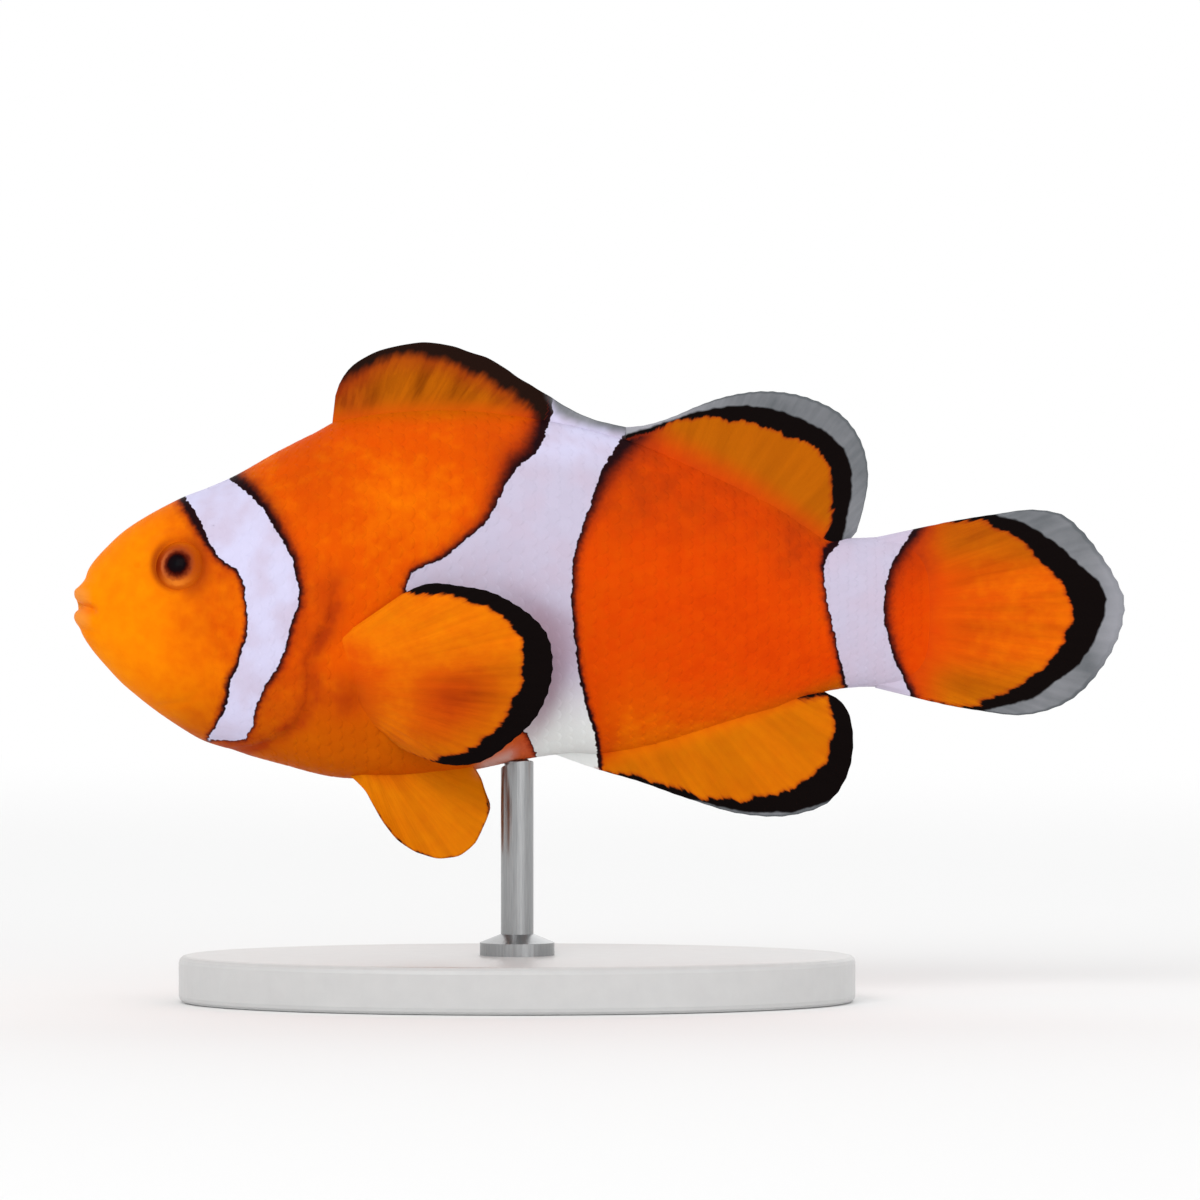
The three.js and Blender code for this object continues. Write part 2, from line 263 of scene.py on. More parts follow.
def shoulder(at, height):
    """The muscle from which the pectoral fin grows, and the hollow behind it."""
    muscle = 0.45 * hump(at - 23.2, 1.7) * hump(height + 6.8, 3.1)
    return muscle - 0.3 * hump(at - 24.4, 0.8) * hump(height + 8.4, 1.3)


def relief(at, side, height):
    """How far the skin stands above the plain body, in millimetres."""
    from_eye = away_from(at, height, EYE)
    face = lips(at, height) + eye_socket(from_eye) + nostril(at, height)
    flank = gill_cover(at, height) + shoulder(at, height) + keels(at, side, height)
    return face + flank + bare_skin(at, height, from_eye)


def skin(at, turn, lift=0.0):
    """Points of the finished skin, lifted off it by some millimetres."""
    plain = flesh(at, turn)
    rise = relief(*np.moveaxis(plain, -1, 0)) + lift
    return plain + facing(at, turn) * np.asarray(rise)[..., None]


# ---- Markings ----

# Each band's front edge and rear edge, from above the back to below the belly.
HEAD_BAND = (
    [(9.0, 14), (9.6, 9.1), (10.55, 7.7), (11.15, 6.5), (11.55, 5.5), (12.35, 4.2),
     (13.3, 3.4), (14.2, 2.9), (14.6, 1.5), (14.9, -0.7), (14.9, -2.3), (14.4, -4.0),
     (14.1, -5.2), (13.4, -6.6), (13.2, -8.1), (12.7, -9.4), (11.5, -11.4), (10.5, -15)],
    [(11.0, 14), (13.3, 10.8), (14.9, 9.6), (16.3, 8.1), (17.7, 5.9), (18.75, 3.9), (19.3, 1.3),
     (19.25, 0.2), (18.55, -1.9), (18.1, -3.7), (17.6, -5.1), (16.5, -6.7), (15.6, -8.7),
     (15.3, -10.4), (14.4, -11.9), (13.6, -15)],
)
MID_BAND = (
    [(41.0, 23), (41.0, 16.6), (40.4, 14.6), (39.5, 12.9), (37.9, 11.8), (36.9, 10.1),
     (35.9, 8.0), (35.1, 6.8), (33.4, 5.4), (31.6, 4.0), (30.1, 3.3), (28.9, 2.7), (28.4, 1.3),
     (29.1, -1.0), (32.0, -5.0), (36.0, -9.0), (38.8, -11.0), (39.7, -13.0), (40.0, -17.0)],
    [(48.2, 23), (47.6, 15.3), (46.8, 14.1), (45.2, 11.5), (44.3, 8.7), (43.7, 7.1), (43.05, 5.1),
     (42.7, 3.2), (42.65, 0.0), (42.9, -2.8), (43.35, -6.5), (44.05, -9.3), (44.65, -11.1),
     (44.9, -13.2), (45.0, -17.0)],
)
TAIL_BAND = (
    [(65.9, 9.0), (65.6, 5.2), (64.8, 4.5), (64.3, 3.3), (64.4, 1.5), (64.7, -0.4),
     (65.3, -2.9), (66.0, -5.9), (66.4, -7.4), (66.6, -10.0)],
    [(73.2, 9.0), (71.9, 6.3), (70.8, 4.8), (70.0, 3.3), (69.55, 1.5), (69.4, 0.0),
     (69.5, -1.5), (70.35, -4.8), (71.6, -7.4), (72.6, -10.0)],
)

# (height, width) points of the dark line along each of those edges, and of its faded side.
EDGE_LINES = (
    ([(-12, 0.0), (-9, 0.2), (0, 0.12), (5, 0.3), (7, 0.6), (9.3, 0.5)],
     [(-12, 0.4), (-9, 0.6), (0, 0.5), (5, 0.8), (7, 0.9), (9.3, 0.9)]),
    ([(-12, 0.0), (-9, 0.1), (0, 0.2), (5, 0.3), (11, 0.7)],
     [(-12, 0.6), (-9, 0.8), (0, 0.8), (5, 1.1), (11, 1.6)]),
    ([(-14, 0.02), (-9, 0.1), (0, 0.1), (5, 0.2), (10, 0.3), (14, 0.75), (17, 1.0)],
     [(-14, 0.6), (0, 0.5), (5, 0.9), (10, 1.7), (12, 2.1), (14, 2.4), (17, 1.2)]),
    ([(-14, 0.3), (0, 0.2), (5, 0.2), (9, 0.35), (12, 0.75), (15, 1.5)],
     [(-14, 0.3), (0, 0.8), (5, 1.1), (9, 1.9), (12, 2.7), (15, 2.6)]),
    ([(-8, 0.25), (0, 0.1), (3, 0.16), (4.6, 0.5), (7, 0.6)],
     [(-8, 0.35), (0, 0.7), (7, 0.4)]),
    ([(-8, 0.3), (0, 0.22), (3, 0.3), (5, 0.4), (7, 0.6)],
     [(-8, 0.8), (0, 1.3), (4, 1.7), (7, 1.4)]),
)
EDGE_WIDTHS = [[smooth_line(points) for points in pair] for pair in EDGE_LINES]

# Where the web of each upright fin takes over from the body's orange, and how softly.
WEB_LINES = (
    ([(43, 20), (41, 15.9), (38, 16.0), (27, 15.8), (19, 15.3)], 2.6),
    ([(66, 4.1), (64.5, 5.1), (62.8, 6.3), (60.6, 7.8), (57.8, 9.8), (54.4, 11.6), (50.2, 13.8),
      (47, 15.5)], 3.3),
    ([(42, -14.1), (46, -13.0), (55, -10.3), (62.8, -7.3), (66, -5.6)], 2.3),
)

# Rusty patches of the orange, one of them painted shade: where each is, how much taller than wide,
# how wide, how strong.
RUSTY_SPOTS = [
    (11.2, 0.6, 1.9, 2.9, 0.35),  # behind the eye
    # painted shade in the hollow at the pectoral fin's root
    (23.4, -7.9, 1.0, 2.0, 0.85),  # the pectoral fin's root
    (20.5, 11.5, 1.0, 3.2, 0.3),  # the nape
    (36.0, 13.2, 1.0, 2.6, 0.3),  # before the middle band
    (48.5, 10.3, 1.0, 2.6, 0.25),  # and behind it
    (38.6, -12.2, 1.0, 1.1, 0.5),  # the belly, above the vent
    (62.3, 4.4, 1.0, 2.6, 0.8),  # before the tail band
    (72.0, 4.0, 1.3, 1.9, 0.8),  # and behind it
]

# From the yellow face to the red tail stalk, by the distance behind the snout.
ripening = smooth_line(
    [(0, 0.0), (6, 0.12), (10, 0.28), (14, 0.38), (19, 0.56), (25, 0.6), (34, 0.58), (43, 0.78),
     (50, 0.88), (66, 0.95), (71, 1.0), (73, 0.88), (75, 0.64), (78, 0.52), (82, 0.45), (92, 0.36)]
)

# The ring round the eye is partly a brown ring and partly painted shade of the socket.
ORBIT = (8.86, 3.45)  # the middle of the brown ring round the eye
THROAT_HEIGHT = -11.6  # the head band ends there
# The spread pectoral fin's rim, from its lower end up to the root; its shadow on the flank behind
# is painted.
PECTORAL_SHADE = [
    (38.5, -11.1), (39.8, -9.5), (40.6, -8.0), (41.1, -6.0), (41.1, -4.3), (40.6, -2.5),
    (39.4, -1.05), (37.9, 0.15), (36.0, 1.1), (33.5, 1.6), (30.7, 1.8), (28.5, 0.95),
]


def side_view(at, side, height):
    """Where a point shows in the camera's view, given in the plane between left and right."""
    nearer = 1 + np.abs(side) / VIEWED_FROM
    middle_at, middle_height = VIEW_MIDDLE
    return middle_at + (at - middle_at) * nearer, middle_height + (height - middle_height) * nearer


def from_stroke(at, height, middle, half_length):
    """Distance from a short level stroke."""
    return np.hypot(np.maximum(np.abs(at - middle[0]) - half_length, 0), height - middle[1])


def band_marks(at, height):
    """The depth inside a white band, the widths of its dark line, and the face just before."""
    edges = []
    for front, rear in (HEAD_BAND, MID_BAND, TAIL_BAND):
        edges += [-distance(at, height, front), distance(at, height, rear)]
    head, middle, tail = (np.minimum(edges[k], edges[k + 1]) for k in (0, 2, 4))
    head = np.minimum(head, height - THROAT_HEIGHT)
    nearest = np.argmin(np.abs(edges), 0)
    line, fade = (np.choose(nearest, [pair[k](height) for pair in EDGE_WIDTHS]) for k in (0, 1))
    beside = hump(np.minimum(edges[0], 0), 2.4) * ramp(at, 15, 13) * ramp(height, -8, -2)
    return {"band": np.max([head, middle, tail], 0), "line": line, "fade": fade}, beside


def rust(at, height, beside):
    """Rusty orange along the gill cover, before the bands and in patches, and painted shade at the
    gill cover's edge, the pectoral fin's root and the anal fin's last ray.
    """
    cover = distance(at, height, GILL_EDGE)
    # Painted shade: a dark line just behind the gill cover's free edge.
    depth = (0.7 + 0.3 * ramp(height, 0, -6)) * hump(cover + 0.2, 0.65) * ramp(height, 3.4, -0.6)
    depth = depth + 0.5 * ramp(cover, -2.5, 0.5) * ramp(cover, 6, 2) * ramp(height, 5, 2)
    depth = depth + 0.55 * ramp(height, 3, 9) * ramp(at, 42, 47)
    depth = depth + 0.3 * beside * (1 - hump(height + 1.2, 1.6))
    for spot_at, spot_height, tallness, width, strength in RUSTY_SPOTS:
        away = np.hypot(at - spot_at, (height - spot_height) / tallness)
        depth = depth + strength * hump(away, width)
    # Painted shade in the gap between the anal fin's last ray and the body.
    last_ray = from_stroke(at, height, (63.8, -7.65), 1.2)
    return np.minimum(depth + 1.5 * hump(last_ray, 0.16), 1)


def eye_ring_and_socket_shade(at, height):
    """The brown ring round the eye, broader behind it than before it, partly painted shade of its
    socket.
    """
    from_middle = away_from(at, height, ORBIT)
    aft, fore = (ramp(way * (at - ORBIT[0]), 0, 1.8) for way in (1, -1))
    ring = 0.95 * aft * hump(from_middle - 2.3, 0.75) + 1.15 * fore * hump(from_middle - 1.95, 0.42)
    return ring + 0.35 * (1 - aft - fore) * hump(from_middle - 2.1, 0.5)


def markings(at, side, height):
    """The marks that skin, scales and fins share, as values for their paint."""
    at, height = side_view(at, side, height)
    marks, beside = band_marks(at, height)

    tone = ripening(at) + 0.12 * ramp(height, 4, 12) * ramp(at, 14, 8) + 0.05 * beside
    tone = tone - 0.2 * hump(np.hypot(at - 27.5, (height - 8.5) / 0.9), 4.8)
    marks["tone"] = tone - 0.5 * ramp(height, -4, -13) * ramp(at, 44, 48)
    webs = [ramp(distance(at, height, edge), -0.3 * soft, 0.7 * soft) for edge, soft in WEB_LINES]
    marks["web"] = np.max(webs, 0) * ramp(at, 68.5, 67)
    # Ochre and darker towards the lower belly, partly its colour and partly painted shade.
    belly_ochre_and_shade = 0.5 * ramp(height, -4, -12) * ramp(at, 44, 32) * ramp(at, 2, 10)
    marks["ochre"] = np.maximum(belly_ochre_and_shade, 0.85 * marks["web"])
    marks["rust"] = rust(at, height, beside)
    marks["orbit"] = eye_ring_and_socket_shade(at, height)
    mouth = np.abs(above_mouth(at, height))
    marks["lip"] = ramp(at, 1.7, 0.5) * ramp(mouth, 2.0, 1.2)

    # Painted shadow of the pectoral fin: a mauve shade on the white band beside its rim.
    shade = np.maximum(distance(at, height, PECTORAL_SHADE), 0)
    marks["mauve"] = hump(shade, 1.2 + 1.7 * hump(height + 2.6, 2.6)) * ramp(at, 35, 41)
    # Whiter in the head band, and painted light: the white is brighter towards the top.
    marks["pearl"] = np.maximum(ramp(at, 26, 20), ramp(height, 11, 14))
    # Painted light: the white band is brighter and more neutral low on the belly; the tail fin's
    # tip is paler.
    painted_belly_light = ramp(height, -4.5, -11.5) * ramp(at, 30, 35) * ramp(at, 55, 50)
    marks["pale"] = painted_belly_light + ramp(at, 86.5, 90)
    vent = from_stroke(at, height - 0.4 * (at - 36.2), (36.2, -13.4), 1.0)
    marks["blush"] = 0.75 * hump(vent, 0.6) + 0.12 * hump(away_from(at, height, (38.6, -12.2)), 1.1)
    return marks


def carry(mesh, values):
    """Gives a mesh's points their values, by name."""
    for name, value in values.items():
        layer = mesh.attributes.new(name, "FLOAT", "POINT")
        value = np.broadcast_to(value, len(mesh.vertices))
        layer.data.foreach_set("value", np.ascontiguousarray(value, np.float32))


# ---- Finishes ----


class Value:
    """A number that varies over a surface; arithmetic on it adds Math nodes."""

    def __init__(self, finish, socket):
        self.finish, self.socket = finish, socket

    def _math(self, operation, first, second):
        return self.finish.node("ShaderNodeMath", {"operation": operation}, {0: first, 1: second})

    def __add__(self, other):
        return self._math("ADD", self, other)

    def __sub__(self, other):
        return self._math("SUBTRACT", self, other)

    def __rsub__(self, other):
        return self._math("SUBTRACT", other, self)

    def __mul__(self, other):
        return self._math("MULTIPLY", self, other)

    def __truediv__(self, other):
        return self._math("DIVIDE", self, other)

    def __rtruediv__(self, other):
        return self._math("DIVIDE", other, self)

    __radd__, __rmul__ = __add__, __mul__

    def ramp(self, low, high):
        """0 below low, 1 above high, and smooth between them."""
        sockets = {"Value": self, "From Min": low, "From Max": high}
        return self.finish.node(
            "ShaderNodeMapRange", {"interpolation_type": "SMOOTHSTEP"}, sockets
        )


class Finish:
    """A material and its nodes."""

    def __init__(self, name, **constants):
        self.material = bpy.data.materials.new(name)
        self.material.use_nodes = True
        self.tree = self.material.node_tree
        self.shader = self.tree.nodes["Principled BSDF"]
        for socket, value in constants.items():
            self.shader.inputs[socket.replace("_", " ")].default_value = value

    def node(self, kind, settings, sockets, output=0):
        node = self.tree.nodes.new(kind)
        for name, value in settings.items():
            if name == "stops":
                for stop, (place, colour) in zip(self._stops(node, len(value)), value):
                    stop.position, stop.color = place, (*colour, 1)
            else:
                setattr(node, name, value)
        for name, value in sockets.items():
            self.plug(node.inputs[name], value)
        return Value(self, node.outputs[output])

    @staticmethod
    def _stops(node, count):
        stops = node.color_ramp.elements
        while len(stops) < count:
            stops.new(1)
        return stops

    def plug(self, socket, value):
        if isinstance(value, Value):
            self.tree.links.new(value.socket, socket)
        elif isinstance(value, tuple) and len(value) == 3 and socket.type == "RGBA":
            socket.default_value = (*value, 1)
        else:
            socket.default_value = value

    def set(self, **values):
        for name, value in values.items():
            self.plug(self.shader.inputs[name.replace("_", " ")], value)

    def carried(self, name):
        return self.node("ShaderNodeAttribute", {"attribute_name": name}, {}, "Fac")

    def place(self):
        return self.node("ShaderNodeTexCoord", {}, {}, "Object")

    def sheet(self):
        """Where a point lies on its fin: across the rays, and from root to edge."""
        return self.node("ShaderNodeUVMap", {"uv_map": "UVMap"}, {})

    def noise(self, size, detail=2, vector=None):
        """Cloudy noise with clouds about this many millimetres across."""
        vector = vector or self.place()
        sockets = {"Vector": vector, "Scale": 1 / (size * MM), "Detail": detail}
        return self.node("ShaderNodeTexNoise", {}, sockets)

    def colours(self, factor, stops):
        return self.node("ShaderNodeValToRGB", {"stops": stops}, {"Fac": factor})

    def mix(self, factor, first, second, blend="MIX"):
        settings = {"data_type": "RGBA", "blend_type": blend}
        return self.node("ShaderNodeMix", settings, {0: factor, 6: first, 7: second}, 2)

    def bump(self, height, depth):
        """A normal from a height of 0 to 1 that stands for this many millimetres."""
        return self.node("ShaderNodeBump", {}, {"Height": height, "Distance": depth * MM})


ORANGES = [
    (0.0, (0.88, 0.24, 0.001)),
    (0.28, (0.82, 0.17, 0.001)),
    (0.55, (0.69, 0.086, 0.001)),
    (0.75, (0.67, 0.067, 0.001)),
    (0.9, (0.665, 0.055, 0.001)),
    (1.0, (0.63, 0.047, 0.001)),
]
OCHRE = (0.42, 0.115, 0.001)
INK_BROWN = (0.012, 0.0048, 0.0035)
BLACK = (0.002, 0.0015, 0.002)
INK_MAROON = (0.013, 0.0035, 0.005)
MAROON = (0.3, 0.022, 0.004)
WHITE = (0.6, 0.58, 0.77)
GREY_WHITE = (0.515, 0.475, 0.605)
PINK_WHITE = (0.53, 0.44, 0.55)


def flesh_paint(finish):
    """Orange, and the white bands with their black edges, on skin, scales and fins."""
    tone = finish.carried("tone") + (finish.noise(5) - 0.5) * 0.35 + (finish.noise(1) - 0.5) * 0.32
    paint = finish.colours(tone, ORANGES)
    paint = finish.mix(finish.carried("ochre"), paint, OCHRE)
    paint = finish.mix(finish.carried("lip") * 0.7, paint, (0.8, 0.27, 0.045))
    # Brown ring round the eye, partly painted shade of its socket.
    paint = finish.mix(finish.carried("orbit") * 0.8, paint, (0.36, 0.05, 0.003))
    paint = finish.mix(finish.carried("blush"), paint, (0.6, 0.4, 0.36))
    # Rusty orange, with painted shade at the gill edge, the pectoral fin's root and the anal fin's
    # last ray.
    blotch = finish.noise(1.6).ramp(0.3, 0.7) * 0.5 + 0.5
    paint = finish.mix(finish.carried("rust") * blotch * 0.9, paint, (0.36, 0.032, 0.003))
    teeth = (finish.noise(0.9, 1) - 0.5) * 0.3 + (finish.noise(0.4, 1) - 0.5) * 0.34
    band = finish.carried("band") + teeth
    outside = (0 - band - finish.carried("line")) / finish.carried("fade")
    paint = finish.mix((1 - outside.ramp(-0.1, 1.1)) * 0.8, paint, MAROON)
    paint = finish.mix(1 - outside.ramp(-0.2, 0.5), paint, INK_MAROON)
    # Whiter head band, and painted light on the top of the white.
    white = finish.mix(finish.carried("pearl"), GREY_WHITE, WHITE)
    white = finish.mix(finish.noise(3.2).ramp(0.35, 0.7) * 0.6, white, PINK_WHITE)
    # Painted light low on the belly's white.
    white = finish.mix(finish.carried("pale"), white, (0.8, 0.83, 0.82))
    # Painted shadow of the pectoral fin on the white band.
    white = finish.mix(finish.carried("mauve") * 0.8, white, (0.33, 0.22, 0.28))
    return finish.mix(band.ramp(-0.03, 0.05), paint, white)


# A satin varnish with the orange of the pigment below it.
SATIN = {"Specular_IOR_Level": 0.02, "Specular_Tint": (1, 0.5, 0.15, 1)}
SILK = {"Specular_IOR_Level": 0.04, "Specular_Tint": (1, 0.6, 0.4, 1)}


def skin_finish():
    finish = Finish("clownfish_skin", Roughness=0.45, **SATIN)
    fine = finish.noise(0.25, 2)
    finish.set(Base_Color=flesh_paint(finish), Normal=finish.bump(fine, 0.02))
    return finish.material


def scale_finish():
    finish = Finish("clownfish_scales", Roughness=0.45, **SATIN)
    paint = flesh_paint(finish)
    # Each scale is darker at random, and its hind edge a little more as painted shade.
    shade = finish.carried("shade")
    paint = finish.mix(shade, paint, (0.55, 0.5, 0.5), "MULTIPLY")
    finish.set(Base_Color=paint, Normal=finish.bump(finish.noise(0.2, 2), 0.012))
    return finish.material


def fin_finish():
    finish = Finish("clownfish_fins", Roughness=0.55, **SILK)
    paint = flesh_paint(finish)
    ray, reach, streaks = (finish.carried(name) for name in ("ray", "reach", "streaks"))
    spread = finish.node("ShaderNodeMapping", {}, {"Vector": finish.sheet(), "Scale": (1, 0.05, 1)})
    fine = finish.node("ShaderNodeTexNoise", {}, {"Vector": spread, "Scale": 60.0, "Detail": 3.0})
    coarse = finish.node("ShaderNodeTexNoise", {}, {"Vector": spread, "Scale": 15.0, "Detail": 1.0})
    web = (1 - ray) * 0.2 + fine.ramp(0.42, 0.62) * 0.25 + coarse.ramp(0.4, 0.62) * 0.55
    paint = finish.mix(web * streaks, paint, (0.2, 0.085, 0.03), "MULTIPLY")
    soft = finish.carried("soft")
    ragged = (coarse - 0.5) * 1.3 + (fine - 0.5) * 0.7 + (finish.noise(0.6, 1) - 0.5) * 0.3
    # Black margins, and painted shade in the gap at the anal fin's last ray.
    ink = finish.carried("ink") + ragged
    paint = finish.mix((ink / soft).ramp(-1.8, 0.3) * 0.6, paint, MAROON)
    tint = finish.mix(soft.ramp(0.3, 0.8), BLACK, INK_BROWN)
    paint = finish.mix((ink / soft).ramp(-0.5, 0.5), paint, tint)
    haze = finish.carried("haze") + (finish.noise(0.8, 1) - 0.5) * 0.3
    grey = fine * 0.5 + finish.noise(0.7, 3) * 0.2 + ray * 0.1 - reach.ramp(0.97, 1) * 0.8
    grey = grey + (finish.noise(4, 1) - 0.5) * 1.2
    smoke = finish.mix(grey, (0.11, 0.12, 0.13), (0.25, 0.255, 0.275))
    # Paler grey margins, partly painted light low on the belly.
    smoke = finish.mix(finish.carried("pale") * 0.6, smoke, (0.36, 0.36, 0.4))
    paint = finish.mix((haze / soft).ramp(-0.5, 0.5), paint, smoke)
    finish.set(Base_Color=paint, Normal=finish.bump(fine, 0.03))
    return finish.material


# ---- Making pieces ----


def start(add, **where):
    """Adds a primitive at the origin and returns it alone, selected."""
    bpy.ops.object.select_all(action="DESELECT")
    add(**where)
    return bpy.context.object


def points_of(mesh):
    co = np.empty(len(mesh.vertices) * 3)
    mesh.vertices.foreach_get("co", co)
    return co.reshape(-1, 3)


def move_points(mesh, points):
    mesh.vertices.foreach_set("co", np.ascontiguousarray(points, np.float32).ravel())
    mesh.update()


def finish_piece(piece, name, material, slot, *nodes):
    """Names a piece, paints it, and ties it to the frame."""
    piece.name = piece.data.name = name
    piece.data.materials.clear()
    piece.data.materials.append(material)
    piece.data.shade_smooth()
    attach(piece, "root")
    if nodes:
        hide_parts(*nodes)


def face_outward(piece):
    """Turns the faces of a closed piece outward."""
    bpy.context.view_layer.objects.active = piece
    bpy.ops.object.mode_set(mode="EDIT")
    bpy.ops.mesh.select_all(action="SELECT")
    bpy.ops.mesh.normals_make_consistent(inside=False)
    bpy.ops.object.mode_set(mode="OBJECT")


RINGS, SECTORS = 330, 220
SNOUT_CROWDING = 1.7  # the rings lie closer together towards the snout
POLE = 1e-4  # the share of the length within which a ring is the pole itself


def make_skin(material):
    """A sphere whose rings are drawn out along the body."""
    piece = start(bpy.ops.mesh.primitive_uv_sphere_add, segments=SECTORS, ring_count=RINGS)
    mesh = piece.data
    x, y, z = points_of(mesh).T
    share = np.arccos(np.clip(z, -1, 1)) / math.pi
    at = FLESH_LENGTH * share**SNOUT_CROWDING
    turn = (np.arctan2(y, x) / (2 * math.pi)) % 1
    points = skin(at, turn)
    pole = (share < POLE) | (share > 1 - POLE)
    points[pole, 1] = 0
    points[pole, 2] = ((back(at) + belly(at)) / 2)[pole]
    move_points(mesh, world(*points.T))
    carry(mesh, markings(*points.T))
    mesh.uv_layers[0].name = "OFBake"
    face_outward(piece)
    finish_piece(
        piece, "skin", material, "skin",
        "head", "lower_jaw", "gill_cover_left", "gill_cover_right", "trunk", "tail_stalk",
    )


# Each stretch of scales: where it starts and ends, and how many scales lie round the body.
SCALE_STRETCHES = ((9.3, 17.0, 62), (17.0, 56.0, 58), (56.0, 73.6, 42))
ROW_STEP = 0.82  # from one row to the next, in lengths of a scale
SCALE_WIDTH = 0.56  # half a scale's width, in places of its row
SCALE_JITTER = (0.04, 0.0007)  # along and as a turn
# A scale is a thin domed plate, and its hind edge lies over the next row.
PLATE_ALONG = np.array([-0.62, -0.1, 0.35, 0.6, 0.62])[:, None]
PLATE_LIFT = np.array([-0.035, 0.0, 0.004, 0.004, -0.011])[:, None]
PLATE_ACROSS = np.array([-1.0, -0.6, 0.0, 0.6, 1.0])
PLATE_ON_MAP = 0.0015  # half a scale's width in its map


def scale_places():
    """Middles of the scales: distance along, turn, length along, and half width as a turn."""
    places = []
    for first, last, around in SCALE_STRETCHES:
        at, row = first, 0
        while at < last:
            length = 0.85 + 0.4 * ramp(at, 10, 24) - 0.3 * ramp(at, 50, 70)
            turns = (np.arange(around) + 0.5 * (row % 2)) / around
            places += [(at, turn, length, SCALE_WIDTH / around) for turn in turns]
            at, row = at + length * ROW_STEP, row + 1
    places = np.array(places)
    places[:, :2] += rng.normal(0, 1, (len(places), 2)) * SCALE_JITTER
    at, _, height = flesh(places[:, 0], places[:, 1]).T
    face = at < 11.5 + 2 * ramp(np.abs(height), 3, 0)
    throat = (at < 14) & (height < -9)
    eye = away_from(at, height, EYE) < 3.9
    gill = np.abs(distance(at, height, GILL_EDGE) + 0.3) < 0.45
    fin_root = (np.abs(at - 23.6) < 1.3) & (np.abs(height + 6.7) < 2.6)
    tail_fin = at > 72.6 - 3 * (height / 6.5) ** 2
    return places[~(face | throat | eye | gill | fin_root | tail_fin)]


def make_scales(material):
    at, turn, length, half = scale_places().T[:, :, None, None]
    rounding = np.where(PLATE_ALONG > 0, np.sqrt(1 - 0.8 * PLATE_ACROSS**2), 1)
    along = PLATE_ALONG * rounding
    across = PLATE_ACROSS * np.where(PLATE_ALONG < 0.5, 1, 0.86)
    lift = PLATE_LIFT - 0.012 * PLATE_ACROSS**4
    # Painted shade: each scale's hind edge is a little darker, where it lies over the next row.
    rim = 0.02 * (PLATE_ALONG > 0.5) * np.ones(len(PLATE_ACROSS))
    on_band = markings(*np.moveaxis(skin(at, turn), -1, 0))["band"] > 0
    fading = (0.1 + 0.9 * ramp(at, 11, 19) * ramp(at, 75, 69)) * np.where(on_band, 0.55, 1)
    points = skin(at + length * along, (turn + half * across) % 1, lift * fading + 0.02)
    shade = (rng.random(at.shape) * 0.1 + rim) * fading

    count, rows, columns = shade.shape
    corner = np.arange(rows - 1)[:, None] * columns + np.arange(columns - 1)
    quad = np.stack([corner + 1, corner + columns + 1, corner + columns, corner], -1)
    firsts = np.arange(count)[:, None, None] * rows * columns
    quads = (firsts + quad.reshape(-1, 4)).reshape(-1, 4)
    points = points.reshape(-1, 3)
    mesh = bpy.data.meshes.new("scales")
    mesh.from_pydata(world(*points.T).tolist(), [], quads.tolist())
    carry(mesh, markings(*points.T) | {"shade": shade.ravel()})

    u = np.clip(turn, PLATE_ON_MAP, 1 - PLATE_ON_MAP) + PLATE_ON_MAP * across
    v = at / FLESH_LENGTH + PLATE_ON_MAP * 1.6 * along
    uv = np.stack([u, v], -1).reshape(-1, 2)
    mesh.uv_layers.new(name="OFBake").data.foreach_set("uv", uv[quads.ravel()].ravel())
    piece = bpy.data.objects.new("scales", mesh)
    bpy.context.collection.objects.link(piece)
    finish_piece(piece, "scales", material, "skin")


# ---- Fins ----

ROOT_DEPTH = 1.6  # how far a fin goes into the body
RAY_STEPS, REACH_STEPS = 10, 54  # across each ray, and from root to edge
WEB_HALF, RIDGE, LEAST_HALF = 0.1, 0.05, 0.06  # half thicknesses
INK_SOFTNESS = 0.22
ABSENT = -9  # the depth inside a mark that a fin doesn't have

fin_paint = fin_finish()


def ray_pattern(share, reach, rays, branching):
    """1 along the rays and 0 between them; branching rays are forked towards the edge."""
    wave = 0.5 + 0.5 * np.cos(2 * math.pi * share * rays)
    twin = 0.5 + 0.5 * np.cos(4 * math.pi * share * rays)
    fork = ramp(reach, 0.4, 0.8) if branching else 0
    return (1 - fork) * wave**1.6 + fork * np.maximum(twin**1.3, 0.3 * wave)


def thicken(piece, half):
    """Makes a sheet solid, with this much on each side of it."""
    thickest = half.max()
    group = piece.vertex_groups.new(name="thickness")
    for i, value in enumerate(half / thickest):
        group.add([i], float(value), "REPLACE")
    solid = piece.modifiers.new("web", "SOLIDIFY")
    solid.thickness = 2 * thickest * MM
    solid.offset = 0
    solid.vertex_group = group.name
    bpy.ops.object.modifier_apply(modifier=solid.name)
    piece.vertex_groups.clear()
    face_outward(piece)


